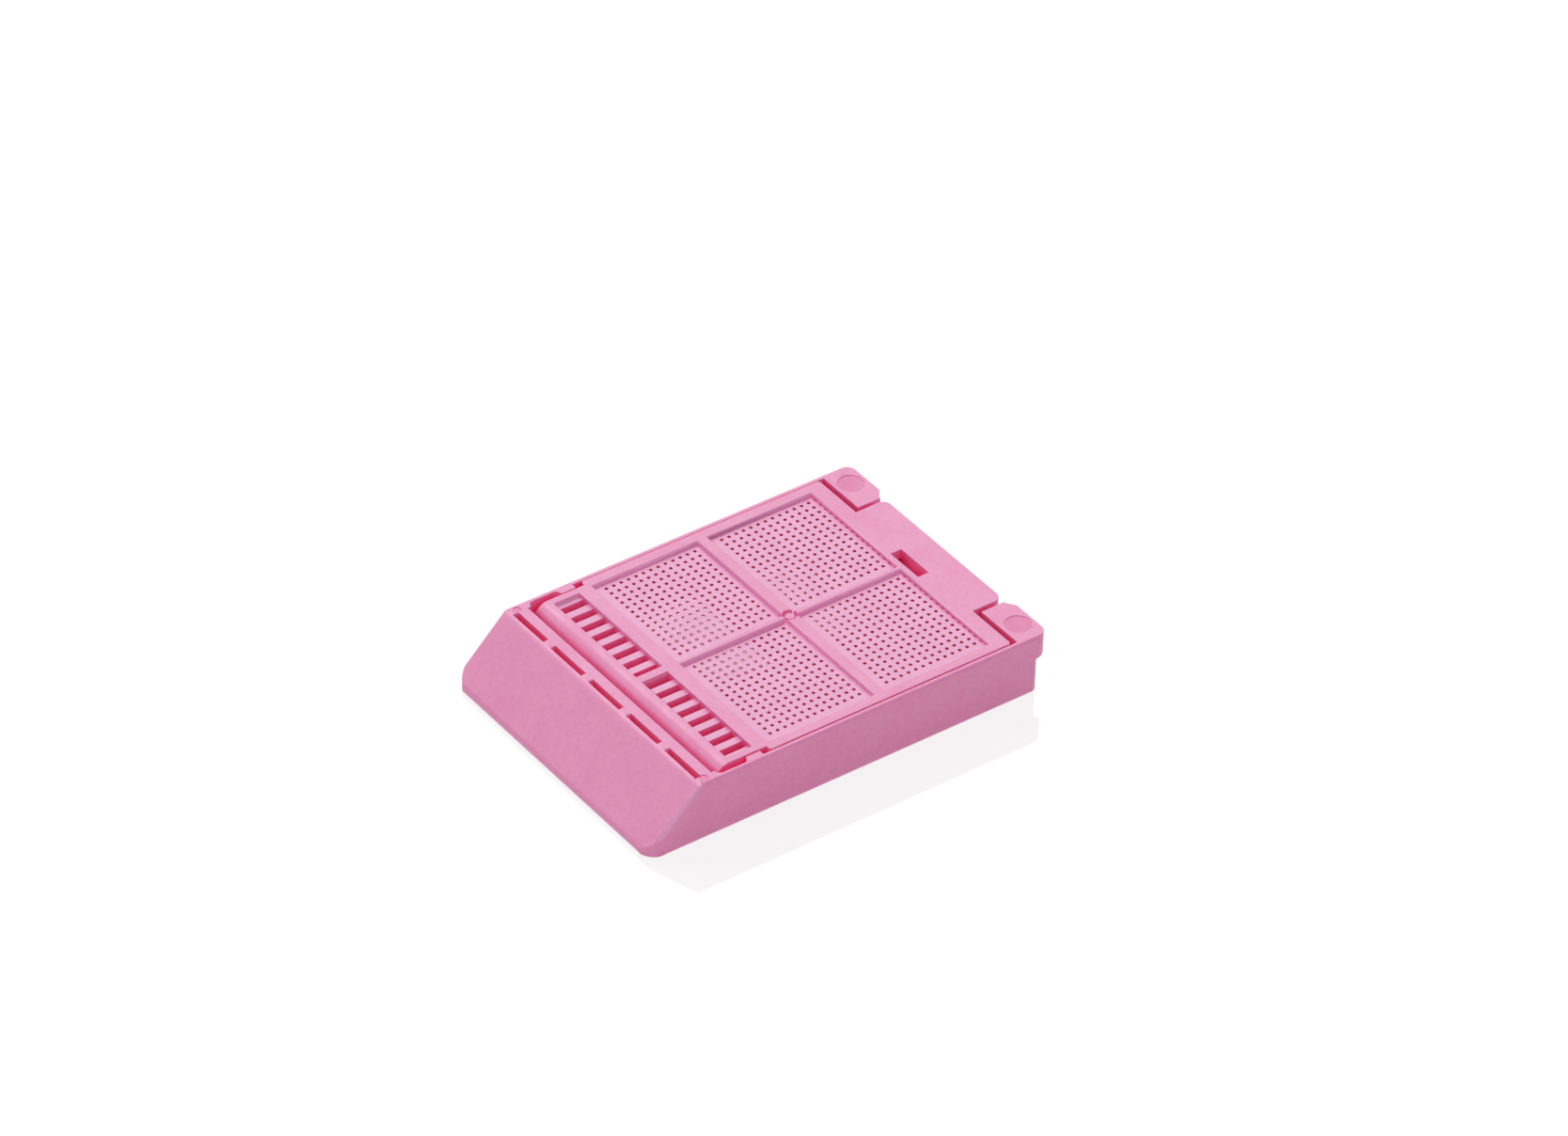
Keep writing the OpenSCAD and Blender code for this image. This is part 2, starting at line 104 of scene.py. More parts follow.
class Nodes:
    """A small helper that adds shader nodes and wires them up."""

    def __init__(self, tree: bpy.types.NodeTree) -> None:
        """Starts on an empty tree.

        Args:
            tree: the material's or the world's node tree, which is cleared.
        """
        self.tree = tree
        tree.nodes.clear()

    def add(self, kind: str, **values: object) -> bpy.types.Node:
        """Adds a node and sets its inputs and properties.

        Args:
            kind: the node's type name, without its ShaderNode prefix.
            values: inputs by name, with spaces written as underscores, or properties.

        Returns:
            The new node.
        """
        node = self.tree.nodes.new("ShaderNode" + kind)
        for key, value in values.items():
            socket = node.inputs.get(key.replace("_", " "))
            if isinstance(value, bpy.types.NodeSocket):
                self.link(value, socket)
            elif socket is not None:
                socket.default_value = value
            else:
                setattr(node, key, value)
        return node

    def link(self, source: bpy.types.NodeSocket, target: bpy.types.NodeSocket) -> None:
        """Wires one socket to another."""
        self.tree.links.new(source, target)

    def noise(
        self, place: bpy.types.NodeSocket, scale: float, detail: float, roughness: float = 0.5
    ) -> bpy.types.NodeSocket:
        """Adds smooth noise.

        Args:
            place: the point on the piece.
            scale: how many swells there are to a metre.
            detail: how many finer layers lie on the first.
            roughness: how strong each layer is beside the one before it.

        Returns:
            The noise, which stays about a half.
        """
        noise = self.add("TexNoise", Vector=place, Scale=scale, Detail=detail, Roughness=roughness)
        return noise.outputs["Fac"]

    def layer(
        self, under: bpy.types.NodeSocket, over: bpy.types.NodeSocket, share: float
    ) -> bpy.types.NodeSocket:
        """Adds a share of one value to another.

        Args:
            under: the value that counts in full.
            over: the value of which a share is added.
            share: how much of it is added.

        Returns:
            The sum.
        """
        both = self.add("Math", operation="MULTIPLY_ADD")
        self.link(over, both.inputs[0])
        both.inputs[1].default_value = share
        self.link(under, both.inputs[2])
        return both.outputs["Value"]

    def spread(
        self,
        value: bpy.types.NodeSocket,
        low: float,
        high: float,
        ends: tuple[float, float] = (0.0, 1.0),
    ) -> bpy.types.NodeSocket:
        """Spreads a value over another range, and holds it there.

        Args:
            value: the value.
            low: where it reaches the first end.
            high: where it reaches the second end.
            ends: the two ends of the new range.

        Returns:
            The value in the new range.
        """
        spread = self.add(
            "MapRange", Value=value, From_Min=low, From_Max=high, To_Min=ends[0], To_Max=ends[1]
        )
        return spread.outputs["Result"]

    def blend(
        self, first: bpy.types.Node, second: bpy.types.Node, share: float | bpy.types.NodeSocket
    ) -> bpy.types.Node:
        """Mixes two shaders.

        Args:
            first: the shader that shows at a share of 0.
            second: the shader that shows at a share of 1.
            share: how much of the second shows.

        Returns:
            The mixed shader.
        """
        mixed = self.add("MixShader", Fac=share)
        self.link(first.outputs[0], mixed.inputs[1])
        self.link(second.outputs[0], mixed.inputs[2])
        return mixed


def shows_background(nodes: Nodes) -> bpy.types.NodeSocket:
    """Picks out the rays that see the studio's white, which the part isn't lit by.

    Args:
        nodes: the material's or the world's nodes.

    Returns:
        A value of 1 for the camera's rays and for those off gloss or through glass, and 0 for
        the rays that light the part.
    """
    rays = nodes.add("LightPath")
    seen = rays.outputs[Facing.CAMERA.value]
    for facing in (Facing.GLOSS, Facing.GLASS):
        either = nodes.add("Math", operation="MAXIMUM")
        nodes.link(seen, either.inputs[0])
        nodes.link(rays.outputs[facing.value], either.inputs[1])
        seen = either.outputs["Value"]
    return seen


@dataclass(frozen=True)
class Acetal:
    """Pink acetal from a finely spark-eroded mould: satin, mottled, with painted shade in its
    hollows.

    The mottle runs from pale to deep, and slots and holes are painted towards a hollow colour that
    stands in for shade. Sizes are in metres, and flow marks and rubs are counted per metre.
    """

    name: str = "pink_acetal"
    pale: Colour = (0.995, 0.303, 0.604, 1.0)
    deep: Colour = (0.97, 0.243, 0.532, 1.0)
    mottle: float = 0.45 * MM
    mottle_spread: float = 0.19
    flow: float = 0.35
    flow_marks: float = 260.0

    # Painted shade: the colour that sheltered spots are blended towards.
    painted_hollow_colour: Colour = (1.0, 0.045, 0.3, 1.0)
    reach: float = 6.0 * MM
    sheltered: float = 0.05
    exposed: float = 0.38
    shelter_samples: int = 8

    index: float = 1.55
    gloss: float = 1.0
    roughness: float = 0.42
    polish: float = 0.05
    wear: float = 0.06
    rubs: float = 420.0
    rub_spread: float = 0.2

    grain: float = 0.16 * MM
    grain_height: float = 0.006 * MM
    ripple: float = 4.0
    ripple_share: float = 0.6

    def build(self) -> bpy.types.Material:
        """Makes the node material.

        Returns:
            The material, ready to be given to a piece.
        """
        material = bpy.data.materials.new(self.name)
        material.use_nodes = True
        nodes = Nodes(material.node_tree)
        place = nodes.add("TexCoord").outputs["Object"]
        shader = nodes.add(
            "BsdfPrincipled",
            Base_Color=self._paint_hollow_shade(nodes, self._mottle(nodes, place)),
            Roughness=self._roughness(nodes, place),
            Normal=self._bump(nodes, place),
            IOR=self.index,
            Specular_IOR_Level=self.gloss,
        )
        nodes.add("OutputMaterial", Surface=shader.outputs["BSDF"])
        return material

    def _mottle(self, nodes: Nodes, place: bpy.types.NodeSocket) -> bpy.types.NodeSocket:
        """Mottles the pigment in two sizes: faint flow marks, and grains under a millimetre.

        Args:
            nodes: the material's nodes.
            place: the point on the piece.

        Returns:
            The colour on open faces.
        """
        flow = nodes.noise(place, self.flow_marks, detail=3.0, roughness=0.55)
        grains = nodes.noise(place, 1.0 / self.mottle, detail=5.0, roughness=0.65)
        middle = 0.5 * (1.0 + self.flow)
        shade = nodes.spread(
            nodes.layer(grains, flow, self.flow),
            middle - self.mottle_spread,
            middle + self.mottle_spread,
        )
        ramp = nodes.add("ValToRGB", Fac=shade)
        ramp.color_ramp.elements[0].color = self.deep
        ramp.color_ramp.elements[1].color = self.pale
        return ramp.outputs["Color"]

    def _paint_hollow_shade(self, nodes: Nodes, open_colour: bpy.types.NodeSocket) -> bpy.types.NodeSocket:
        """Paints shade into hollows, where light only arrives through the plastic itself.

        Args:
            nodes: the material's nodes.
            open_colour: the colour on open faces.

        Returns:
            The colour of open faces and hollows alike.
        """
        shelter = nodes.add("AmbientOcclusion", Distance=self.reach, samples=self.shelter_samples)
        openness = nodes.spread(shelter.outputs["AO"], self.sheltered, self.exposed)
        mix = nodes.add("Mix", data_type="RGBA")
        factor, first, second = mix.inputs[0], mix.inputs[6], mix.inputs[7]
        nodes.link(openness, factor)
        # Sheltered spots show the painted hollow colour.
        first.default_value = self.painted_hollow_colour
        nodes.link(open_colour, second)
        return mix.outputs[2]

    def _roughness(self, nodes: Nodes, place: bpy.types.NodeSocket) -> bpy.types.NodeSocket:
        """Varies the satin slightly, as handling and the mould's polish do.

        Args:
            nodes: the material's nodes.
            place: the point on the piece.

        Returns:
            The roughness.
        """
        return nodes.spread(
            nodes.noise(place, self.rubs, detail=2.0),
            0.5 - self.rub_spread,
            0.5 + self.rub_spread,
            ends=(self.roughness - self.polish, self.roughness + self.wear),
        )

    def _bump(self, nodes: Nodes, place: bpy.types.NodeSocket) -> bpy.types.NodeSocket:
        """Adds the spark-eroded grain: pits over coarser ripples.

        Args:
            nodes: the material's nodes.
            place: the point on the piece.

        Returns:
            The way that the grained surface faces.
        """
        pits = nodes.noise(place, 1.0 / self.grain, detail=4.0, roughness=0.6)
        ripples = nodes.noise(place, 1.0 / (self.ripple * self.grain), detail=2.0)
        height = nodes.layer(pits, ripples, self.ripple_share)
        bump = nodes.add("Bump", Height=height, Strength=1.0, Distance=self.grain_height)
        return bump.outputs["Normal"]


@dataclass(frozen=True)
class MarkAcetal(Acetal):
    """The same acetal where an ejector pin's turned face left it deeper and a little rougher."""

    name: str = "ejector_mark_acetal"
    pale: Colour = (0.93, 0.215, 0.49, 1.0)
    deep: Colour = (0.91, 0.19, 0.45, 1.0)
    roughness: float = 0.5


@dataclass(frozen=True)
class LidWebAcetal(Acetal):
    """The same acetal in the lid's thin web, painted paler for the light that passes through it
    from both sides.
    """

    name: str = "lid_web_acetal"
    pale: Colour = (1.0, 0.41, 0.7, 1.0)
    deep: Colour = (0.99, 0.38, 0.67, 1.0)
    painted_hollow_colour: Colour = (1.0, 0.16, 0.45, 1.0)
    sheltered: float = 0.15
    exposed: float = 0.8


@dataclass(frozen=True)
class FloorWebAcetal(LidWebAcetal):
    """The floor's web, whose painted light keeps it pale even inside the shut compartment."""

    name: str = "floor_web_acetal"
    painted_hollow_colour: Colour = (1.0, 0.55, 0.78, 1.0)


@dataclass(frozen=True)
class EdgeHighlightAcetal(Acetal):
    """Rounded edges, painted paler as a highlight, for light that enters the plastic from both
    faces there.
    """

    name: str = "edge_highlight_acetal"
    pale: Colour = (1.0, 0.38, 0.69, 1.0)
    deep: Colour = (0.985, 0.345, 0.65, 1.0)
    painted_hollow_colour: Colour = (1.0, 0.1, 0.4, 1.0)
    roughness: float = 0.38


@dataclass(frozen=True)
class FieldSideAcetal(Acetal):
    """The low sides round each sunk field, painted paler for the light that comes through the ribs
    behind them.
    """

    name: str = "field_side_acetal"
    pale: Colour = (1.0, 0.4, 0.71, 1.0)
    deep: Colour = (0.98, 0.37, 0.68, 1.0)
    painted_hollow_colour: Colour = (1.0, 0.3, 0.6, 1.0)


@dataclass(frozen=True)
class HoleSideAcetal(Acetal):
    """The sides of the mesh holes, painted a glowing crimson for the light that they take through
    the web.
    """

    name: str = "hole_side_acetal"
    pale: Colour = (1.0, 0.23, 0.58, 1.0)
    deep: Colour = (1.0, 0.19, 0.52, 1.0)
    painted_hollow_colour: Colour = (1.0, 0.13, 0.46, 1.0)
    gloss: float = 0.15


@dataclass(frozen=True)
class WhiteAcrylic:
    """A glossy white sheet, with a faint image and a soft shadow of what stands on it."""

    name: str = "white_acrylic"
    white: Colour = (0.93, 0.925, 0.93, 1.0)
    shine: float = 0.06
    shadow: float = 0.10
    roughness: float = 0.02

    def build(self) -> bpy.types.Material:
        """Makes the node material.

        Returns:
            The material, which looks white and lights the part as plain white does.
        """
        material = bpy.data.materials.new(self.name)
        material.use_nodes = True
        nodes = Nodes(material.node_tree)
        matt = nodes.add("BsdfDiffuse", Color=self.white)
        lit = nodes.add("Emission", Color=WHITE, Strength=1.0)
        gloss = nodes.add("BsdfGlossy", Color=WHITE, Roughness=self.roughness)
        shaded = nodes.blend(lit, matt, self.shadow)
        glossy = nodes.blend(shaded, gloss, self.shine)
        choice = nodes.blend(matt, glossy, shows_background(nodes))
        nodes.add("OutputMaterial", Surface=choice.outputs["Shader"])
        return material


@dataclass(frozen=True)
class HoleLip:
    """The rounded lip that a core pin leaves in each mesh hole, narrowest at half depth."""

    reach: float
    corner: float
    corner_facets: int
    steps: int

    def ring(self, half: Vector, inset: float) -> list[tuple[float, float]]:
        """Lays out one level of the lip: a square with rounded corners.

        Args:
            half: half of the hole's two sides.
            inset: how far this level stands in from the hole's sides.

        Returns:
            The points about the hole's middle, anticlockwise, as many at each corner.
        """
        wide = half.x - inset - self.corner
        long = half.y - inset - self.corner
        points = []
        for quarter, (side_x, side_y) in enumerate(((1, 1), (-1, 1), (-1, -1), (1, -1))):
            for step in range(self.corner_facets + 1):
                turn = math.radians(90.0 * (quarter + step / self.corner_facets))
                points.append((
                    side_x * wide + self.corner * math.cos(turn),
                    side_y * long + self.corner * math.sin(turn),
                ))
        return points

    def profile(self) -> list[tuple[float, float]]:
        """The lip's levels from its upper rim to its lower one, as (inset, share of depth)."""
        turns = [math.pi * step / (2 * self.steps) for step in range(1, 2 * self.steps)]
        return [(self.reach * math.sin(turn), 0.5 * (1.0 - math.cos(turn))) for turn in turns]


@dataclass(frozen=True, kw_only=True)
class Moulding(ABC):
    """One injection-moulded piece: the solid's own form, softened as the mould leaves it.

    An opening is a mesh hole's finished width as a share of the solid's, at the web's top and at
    its underside. Edges are sharp, and joined flats coplanar, by an angle in degrees. Faces are
    flat, leaning or upright by the upward part of the way that they face.
    """

    node: str
    name: str
    finishes: dict[Finish, bpy.types.Material]

    hole: float = 0.36 * MM
    hole_slack: float = 0.1
    opening: tuple[float, float] = (1.0, 1.0)
    lip: HoleLip

    mark_depth: float = 0.07 * MM
    mark_width: float = 2.6 * MM

    arris: EdgeBreak = EdgeBreak(0.045 * MM, 2)
    rim: EdgeBreak | None = None
    rim_length: float = 5.0 * MM
    sharp: float = 32.0

    weld: float = 0.002 * MM
    slack: float = 0.005 * MM
    coplanar: float = 0.5
    flat: float = 0.99
    leaning: float = 0.5
    upright: float = 0.1

    @property
    @abstractmethod
    def levels(self) -> tuple[float, float]:
        """The heights between which this piece's web of holes lies."""

    def stays_crisp(self, place: Vector) -> bool:
        """Tells whether the mould leaves the edges round a place crisp."""
        return False

    def is_soft_edge(self, way: Vector) -> bool:
        """Tells whether a face that looks this way is part of a large round of the piece."""
        return False

    def build(self) -> bpy.types.Object:
        """Makes the piece, dresses it and lets it ride on its body.

        Returns:
            The new object.
        """
        form = self._form()
        self._soften(form)
        self._line_holes(form)
        self._finish_faces(form)
        bmesh.ops.recalc_face_normals(form, faces=form.faces)
        self._finish_marks(form)
        mesh = bpy.data.meshes.new(self.name)
        form.to_mesh(mesh)
        form.free()
        piece = bpy.data.objects.new(self.name, mesh)
        bpy.context.scene.collection.objects.link(piece)
        for finish in Finish:
            mesh.materials.append(self.finishes[finish])
        self._shade(piece)
        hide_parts(self.node)
        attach(piece, self.node)
        return piece

    def _form(self) -> bmesh.types.BMesh:
        """Takes the solid's form as clean flats and curves.

        Returns:
            A mesh with one face for each flat.
        """
        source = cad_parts[self.node]
        form = bmesh.new()
        form.from_mesh(source.data)
        form.transform(source.matrix_world)
        bmesh.ops.remove_doubles(form, verts=form.verts, dist=self.weld)
        bmesh.ops.dissolve_limit(
            form, angle_limit=math.radians(self.coplanar), verts=form.verts, edges=form.edges
        )
        return form

    def _soften(self, form: bmesh.types.BMesh) -> None:
        """Rounds the edges that the mould softens, and keeps the piece inside its own box.

        Args:
            form: the mesh to work on.
        """
        for finds, edge_break in ((self._is_rim, self.rim), (self._is_arris, self.arris)):
            if edge_break is None:
                continue
            edges = [edge for edge in form.edges if finds(edge)]
            bmesh.ops.bevel(
                form,
                geom=edges,
                offset=edge_break.radius,
                offset_type="OFFSET",
                segments=edge_break.facets,
                profile=0.5,
                affect="EDGES",
                clamp_overlap=False,
                # The rounds take the edge finish, a painted highlight.
                material=Finish.EDGE,
            )
            log.info("%s: %d edges rounded", self.name, len(edges))
        floor, top = (corner[2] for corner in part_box(self.node))
        for vertex in form.verts:
            vertex.co.z = min(max(vertex.co.z, floor), top)

    def _is_outward(self, edge: bmesh.types.BMEdge) -> bool:
        """Tells whether an edge stands out sharply, and isn't one that stays crisp."""
        sharp = edge.is_manifold and math.degrees(edge.calc_face_angle_signed(0.0)) >= self.sharp
        return sharp and not self.stays_crisp((edge.verts[0].co + edge.verts[1].co) / 2)

    def _is_rim(self, edge: bmesh.types.BMEdge) -> bool:
        """Tells whether an edge is the straight upper rim of a sunk field.

        Args:
            edge: the edge to look at.

        Returns:
            True where a flat top meets a long side that goes down to the web.
        """
        web_top = self.levels[1]
        lowest = min(vertex.co.z for vertex in edge.verts)
        if not self._is_outward(edge) or lowest < web_top + self.arris.radius:
            return False
        side, top = sorted(edge.link_faces, key=lambda face: face.normal.z)
        reaches_web = any(abs(vertex.co.z - web_top) < self.slack for vertex in side.verts)
        return top.normal.z > self.flat and reaches_web and edge.calc_length() > self.rim_length

    def _is_arris(self, edge: bmesh.types.BMEdge) -> bool:
        """Tells whether an edge gets the usual round: it is outward, no rim and not in the web."""
        return self._is_outward(edge) and not self._is_rim(edge) and not self._in_web(edge.verts)

    def _in_web(self, vertices: Iterable[bmesh.types.BMVert]) -> bool:
        """Tells whether all of some vertices lie between the web's two levels."""
        low, high = self.levels
        return all(low - self.slack <= vertex.co.z <= high + self.slack for vertex in vertices)

    def _stands_on_web(self, face: bmesh.types.BMFace) -> bool:
        """Tells whether a face rises from the web's top."""
        rises = [vertex.co.z - self.levels[1] for vertex in face.verts]
        return abs(min(rises)) < self.slack < max(rises)

    def _line_holes(self, form: bmesh.types.BMesh) -> None:
        """Swaps the flat sides of every whole hole of the web for a rounded lip.

        Args:
            form: the mesh to work on.
        """
        flat_sides = []
        for sides in self._holes(form):
            if self._line_hole(form, sides):
                flat_sides.extend(sides)
        bmesh.ops.delete(form, geom=flat_sides, context="FACES")
        log.info("%s: %d holes lined", self.name, len(flat_sides) // 4)

    def _holes(self, form: bmesh.types.BMesh) -> list[list[bmesh.types.BMFace]]:
        """Finds the web's square holes by their upright sides.

        Args:
            form: the mesh to look through.

        Returns:
            The four sides of each hole.
        """
        waiting = dict.fromkeys(
            face for face in form.faces
            if abs(face.normal.z) < self.upright
            and len(face.verts) == 4
            and self._in_web(face.verts)
        )
        holes = []
        while waiting:
            sides = [waiting.popitem()[0]]
            # The list grows on the way, as each side brings in the sides next to it.
            for side in sides:
                for edge in side.edges:
                    for other in edge.link_faces:
                        if other in waiting:
                            del waiting[other]
                            sides.append(other)
            if len(sides) == 4 and len(self._corners(sides)) == 8:
                holes.append(sides)
        return holes

    @staticmethod
    def _corners(sides: Iterable[bmesh.types.BMFace]) -> list[bmesh.types.BMVert]:
        """Lists the corners of some faces, each once and always in the same order."""
        return list(dict.fromkeys(vertex for side in sides for vertex in side.verts))

    def _line_hole(self, form: bmesh.types.BMesh, sides: list[bmesh.types.BMFace]) -> bool:
        """Opens one hole to its finished width and adds its rounded lip.

        Args:
            form: the mesh to work on.
            sides: the hole's four sides.

        Returns:
            Whether this is a whole hole, which has its lip now.
        """
        corners = self._corners(sides)
        middle = sum((vertex.co for vertex in corners), Vector()) / len(corners)
        half = Vector()
        for vertex in corners:
            half += Vector(abs(part) for part in vertex.co - middle) / len(corners)
        narrowest = 0.5 * self.hole * (1.0 - self.hole_slack)
        widest = 0.5 * self.hole * (1.0 + self.hole_slack)
        if min(half.x, half.y) < narrowest or max(half.x, half.y) > widest:
            return False
        upper, lower = self._open_rims(corners, middle)
        rings = self._rings(form, middle, half)
        self._collar(form, upper, rings[0])
        for above, below in zip(rings, rings[1:]):
            self._band(form, above, below)
        self._collar(form, lower, rings[-1])
        return True

    def _open_rims(
        self, corners: Iterable[bmesh.types.BMVert], middle: Vector
    ) -> tuple[list[bmesh.types.BMVert], list[bmesh.types.BMVert]]:
        """Brings a hole's two square rims to their finished width.

        Args:
            corners: the hole's eight corners.
            middle: the hole's middle.

        Returns:
            The upper rim's corners and the lower one's, anticlockwise from the first quarter.
        """

        def turn(vertex: bmesh.types.BMVert) -> float:
            """The vertex's angle about the hole's middle, from 0 to a full turn."""
            return math.atan2(vertex.co.y - middle.y, vertex.co.x - middle.x) % math.tau

        upper = sorted((vertex for vertex in corners if vertex.co.z > middle.z), key=turn)
        lower = sorted((vertex for vertex in corners if vertex.co.z <= middle.z), key=turn)
        for rim, opening in zip((upper, lower), self.opening):
            for vertex in rim:
                vertex.co.x = middle.x + (vertex.co.x - middle.x) * opening
                vertex.co.y = middle.y + (vertex.co.y - middle.y) * opening
        return upper, lower

    def _rings(
        self, form: bmesh.types.BMesh, middle: Vector, half: Vector
    ) -> list[list[bmesh.types.BMVert]]:
        """Adds the points of a hole's lip.

        Args:
            form: the mesh to work on.
            middle: the hole's middle.
            half: half of the hole's two sides.

        Returns:
            The lip's rings, from its upper rim to its lower one.
        """
        low, high = self.levels
        upper, lower = self.opening
        rings = []
        for inset, share in self.lip.profile():
            height = high - share * (high - low)
            opening = upper + share * (lower - upper)
            rings.append([
                form.verts.new((middle.x + x, middle.y + y, height))
                for x, y in self.lip.ring(half * opening, inset)
            ])
        return rings

    def _collar(
        self,
        form: bmesh.types.BMesh,
        square: list[bmesh.types.BMVert],
        ring: list[bmesh.types.BMVert],
    ) -> None:
        """Joins a hole's square rim to a rounded ring.

        Args:
            form: the mesh to work on.
            square: the rim's four corners, anticlockwise from the first quarter.
            ring: the ring's points in the same order.
        """
        per_corner = self.lip.corner_facets + 1
        for quarter, corner in enumerate(square):
            start = quarter * per_corner
            for step in range(start, start + self.lip.corner_facets):
                form.faces.new((corner, ring[step], ring[step + 1]))
            after = (quarter + 1) % len(square)
            last, first = ring[start + per_corner - 1], ring[after * per_corner]
            form.faces.new((corner, last, first, square[after]))

    @staticmethod
    def _band(
        form: bmesh.types.BMesh,
        above: list[bmesh.types.BMVert],
        below: list[bmesh.types.BMVert],
    ) -> None:
        """Joins two rings of a hole's lip.

        Args:
            form: the mesh to work on.
            above: the upper ring's points.
            below: the lower ring's points in the same order.
        """
        for index, corner in enumerate(above):
            after = (index + 1) % len(above)
            side = form.faces.new((corner, above[after], below[after], below[index]))
            # The lip's sides take the hole-side finish, with its painted crimson glow.
            side.material_index = Finish.HOLE_SIDE

    def _finish_faces(self, form: bmesh.types.BMesh) -> None:
        """Gives the web, the sides that stand on it and the large rounds their own finishes, which
        paint light into them.

        Args:
            form: the mesh to work on.
        """
        for face in form.faces:
            plain_body = face.material_index == Finish.BODY
            if plain_body and self._in_web(face.verts):
                face.material_index = Finish.WEB
            elif abs(face.normal.z) < self.leaning and self._stands_on_web(face):
                face.material_index = Finish.FIELD_SIDE
            # Large rounds take the edge finish, a painted highlight.
            elif plain_body and self.is_soft_edge(face.normal):
                face.material_index = Finish.EDGE

    def _finish_marks(self, form: bmesh.types.BMesh) -> None:
        """Gives the sunk discs of the ejector pins, just under the top, their own finish.

        Args:
            form: the mesh to work on.
        """
        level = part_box(self.node)[1][2] - self.mark_depth
        for face in form.faces:
            at_level = abs(face.calc_center_median().z - level) < self.slack
            if at_level and face.normal.z > self.flat:
                places = [vertex.co.x for vertex in face.verts]
                if max(places) - min(places) < self.mark_width:
                    face.material_index = Finish.MARK

    def _shade(self, piece: bpy.types.Object) -> None:
        """Shades the rounds smoothly and keeps the flats flat.

        Args:
            piece: the object to shade.
        """
        mesh = piece.data
        mesh.shade_smooth()
        mesh.set_sharp_from_angle(angle=math.radians(self.sharp))
        weighted = piece.modifiers.new("flats", "WEIGHTED_NORMAL")
        weighted.mode = "FACE_AREA"
        weighted.keep_sharp = True


@dataclass(frozen=True, kw_only=True)
class BaseMoulding(Moulding):
    """The tray: writing face, slotted rail, hinge seats, compartment, mesh floor and blocks."""

    node: str = "base"
    name: str = "base_moulding"
    floor_level: float = 0.1 * MM
    web_thickness: float = 0.22 * MM
    opening: tuple[float, float] = (0.9, 1.0)
    lip: HoleLip = HoleLip(reach=0.02 * MM, corner=0.1 * MM, corner_facets=2, steps=2)
    gusset_sideways: tuple[float, float] = (0.2, 0.97)
    gusset_tilt: float = 0.15

    @cached_property
    def levels(self) -> tuple[float, float]:
        """The floor web's underside and top."""
        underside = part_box(self.node)[0][2] + self.floor_level
        return underside, underside + self.web_thickness

    def is_soft_edge(self, way: Vector) -> bool:
        """Picks out the round between the writing face and the gusset beside it."""
        tilted = way.y < -self.gusset_tilt and way.z > self.gusset_tilt
        return tilted and self.gusset_sideways[0] < abs(way.x) < self.gusset_sideways[1]


@dataclass(frozen=True, kw_only=True)
class LidMoulding(Moulding):
    """The lid: roll and pins, vent pockets, four mesh fields, ribs, latch window, hook, tab."""

    node: str = "lid"
    name: str = "lid_moulding"
    recess: float = 0.36 * MM
    web_thickness: float = 0.22 * MM
    opening: tuple[float, float] = (0.93, 1.4)
    lip: HoleLip = HoleLip(reach=0.035 * MM, corner=0.1 * MM, corner_facets=2, steps=3)
    rim: EdgeBreak | None = EdgeBreak(0.15 * MM, 4)
    hub: tuple[float, float] = (0.0, 3.925 * MM)
    hub_reach: float = 0.95 * MM

    @cached_property
    def levels(self) -> tuple[float, float]:
        """The lid web's underside and top."""
        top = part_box(self.node)[1][2] - self.recess
        return top - self.web_thickness, top

    def stays_crisp(self, place: Vector) -> bool:
        """Keeps the small cut-outs of the gate hub crisp, where the ribs meet."""
        return math.dist(place.xy, self.hub) < self.hub_reach


def direction(azimuth: float, elevation: float) -> Vector:
    """Turns two angles into a direction.

    Args:
        azimuth: degrees round the part, 0 from the writing face and 90 from its +X side.
        elevation: degrees above the floor.

    Returns:
        The unit vector from the part towards that side.
    """
    turn, rise = math.radians(azimuth), math.radians(elevation)
    level = math.cos(rise)
    return Vector((math.sin(turn) * level, -math.cos(turn) * level, math.sin(rise)))


@dataclass(frozen=True)
class Softbox:
    """A square studio softbox that faces the part, in degrees, metres and watts."""

    name: str
    azimuth: float
    elevation: float
    size: float
    power: float
    distance: float = 1.3

    def build(self, target: Vector) -> bpy.types.Object:
        """Hangs the softbox and aims it.

        Args:
            target: the point that it faces.

        Returns:
            The new light.
        """
        light = bpy.data.lights.new(self.name, "AREA")
        light.shape = "SQUARE"
        light.size = self.size
        light.energy = self.power
        lamp = bpy.data.objects.new(self.name, light)
        way = direction(self.azimuth, self.elevation)
        lamp.location = target + way * self.distance
        lamp.rotation_euler = way.to_track_quat("Z", "Y").to_euler()
        bpy.context.scene.collection.objects.link(lamp)
        return lamp


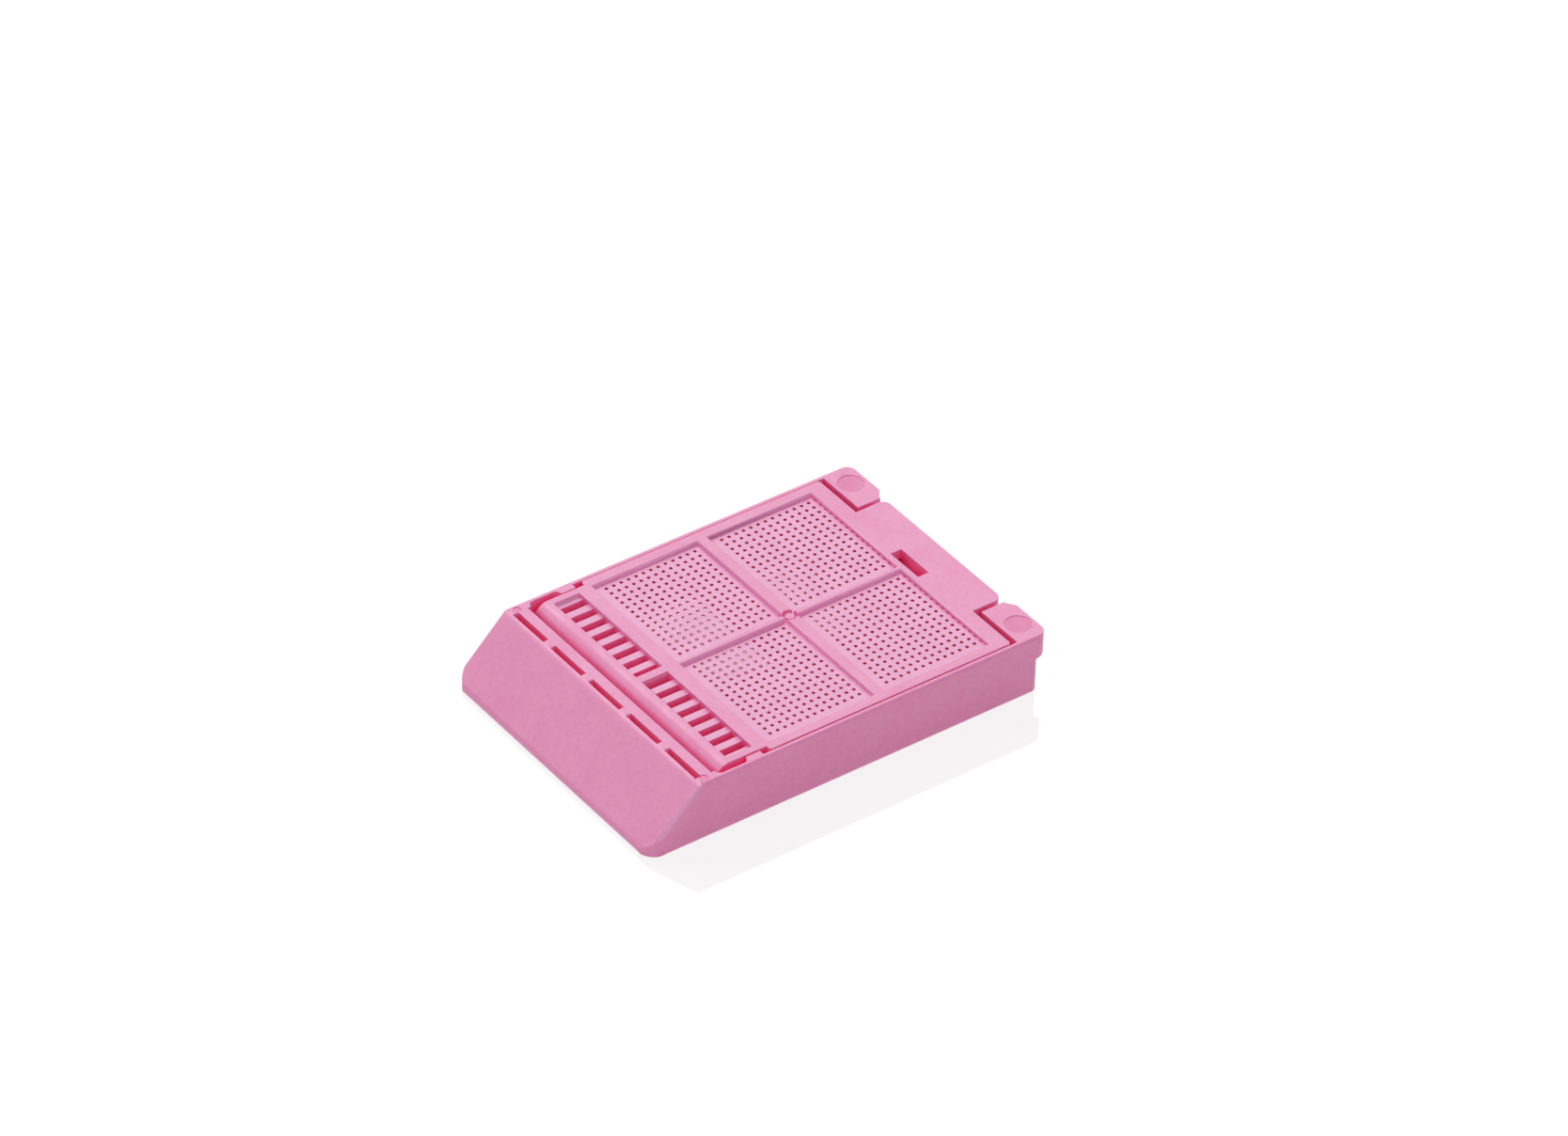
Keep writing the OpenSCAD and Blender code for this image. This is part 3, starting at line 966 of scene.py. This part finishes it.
@dataclass(frozen=True)
class Studio:
    """The floor, the surrounding white and the softboxes."""

    floor_size: float = 8.0
    floor_gap: float = 0.02 * MM
    surround: float = 0.2
    aim: Point = (0.0, 0.0, 3.0 * MM)
    softboxes: tuple[Softbox, ...] = (
        Softbox("rear_softbox", azimuth=-127.0, elevation=40.0, size=1.1, power=5.25),
        Softbox("left_softbox", azimuth=-50.0, elevation=31.0, size=1.0, power=2.65),
        Softbox("high_softbox", azimuth=-88.0, elevation=52.0, size=0.42, power=2.75),
        Softbox("front_softbox", azimuth=75.0, elevation=22.0, size=1.0, power=2.3),
        Softbox("corner_softbox", azimuth=50.0, elevation=40.0, size=0.4, power=1.35),
    )

    def build(self) -> None:
        """Sets up the studio round the part."""
        self._floor()
        self._world()
        for softbox in self.softboxes:
            softbox.build(Vector(self.aim))

    def _floor(self) -> None:
        """Lays the white sheet that the part stands on."""
        mesh = bpy.data.meshes.new("floor_sheet")
        reach = self.floor_size / 2
        corners = [
            (-reach, -reach, 0.0), (reach, -reach, 0.0), (reach, reach, 0.0), (-reach, reach, 0.0)
        ]
        mesh.from_pydata(corners, [], [(0, 1, 2, 3)])
        mesh.materials.append(WhiteAcrylic().build())
        floor = bpy.data.objects.new("floor_sheet", mesh)
        floor.location.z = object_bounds()[0][2] - self.floor_gap
        bpy.context.scene.collection.objects.link(floor)
        floor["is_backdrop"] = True

    def _world(self) -> None:
        """Surrounds the part with even white, which lights it less than the camera sees."""
        world = bpy.data.worlds.new("studio_white")
        bpy.context.scene.world = world
        world.use_nodes = True
        nodes = Nodes(world.node_tree)
        light = nodes.add("Background", Color=WHITE, Strength=self.surround)
        seen = nodes.add("Background", Color=WHITE, Strength=1.0)
        choice = nodes.blend(light, seen, shows_background(nodes))
        nodes.add("OutputWorld", Surface=choice.outputs["Shader"])


@dataclass(frozen=True)
class ProductCamera:
    """A long lens that looks down on the near front corner: degrees, metres, and a lens in mm."""

    azimuth: float = 52.976
    elevation: float = 37.783
    roll: float = 1.629
    distance: float = 0.70297
    lens: float = 190.34
    sensor: float = 36.0
    nearest: float = 0.01
    farthest: float = 20.0
    target: Point = (-0.005491, 0.007316, 0.0058)

    def build(self) -> bpy.types.Object:
        """Places the camera and makes it the scene's own.

        Returns:
            The new camera.
        """
        data = bpy.data.cameras.new("product_camera")
        data.lens = self.lens
        data.sensor_width = self.sensor
        data.clip_start = self.nearest
        data.clip_end = self.farthest
        camera = bpy.data.objects.new("product_camera", data)
        way = direction(self.azimuth, self.elevation)
        aimed = way.to_track_quat("Z", "Y").to_matrix().to_4x4()
        rolled = aimed @ Matrix.Rotation(math.radians(self.roll), 4, "Z")
        place = Vector(self.target) + way * self.distance
        camera.matrix_world = Matrix.Translation(place) @ rolled
        bpy.context.scene.collection.objects.link(camera)
        bpy.context.scene.camera = camera
        return camera


def main() -> None:
    """Builds the cassette, the studio and the camera."""
    logging.basicConfig(level=logging.INFO, format="%(name)s: %(message)s")
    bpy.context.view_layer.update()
    bpy.context.scene.view_settings.view_transform = "Standard"
    cycles = bpy.context.scene.cycles
    cycles.max_bounces = cycles.diffuse_bounces = cycles.glossy_bounces = LIGHT_BOUNCES
    shared = {
        Finish.BODY: Acetal().build(),
        Finish.MARK: MarkAcetal().build(),
        Finish.HOLE_SIDE: HoleSideAcetal().build(),
        Finish.FIELD_SIDE: FieldSideAcetal().build(),
        Finish.EDGE: EdgeHighlightAcetal().build(),
    }
    for moulding in (
        BaseMoulding(finishes={**shared, Finish.WEB: FloorWebAcetal().build()}),
        LidMoulding(finishes={**shared, Finish.WEB: LidWebAcetal().build()}),
    ):
        piece = moulding.build()
        log.info("%s: %d faces, rides on %s", piece.name, len(piece.data.polygons), moulding.node)
    Studio().build()
    ProductCamera().build()


if __name__ == "__main__":
    main()
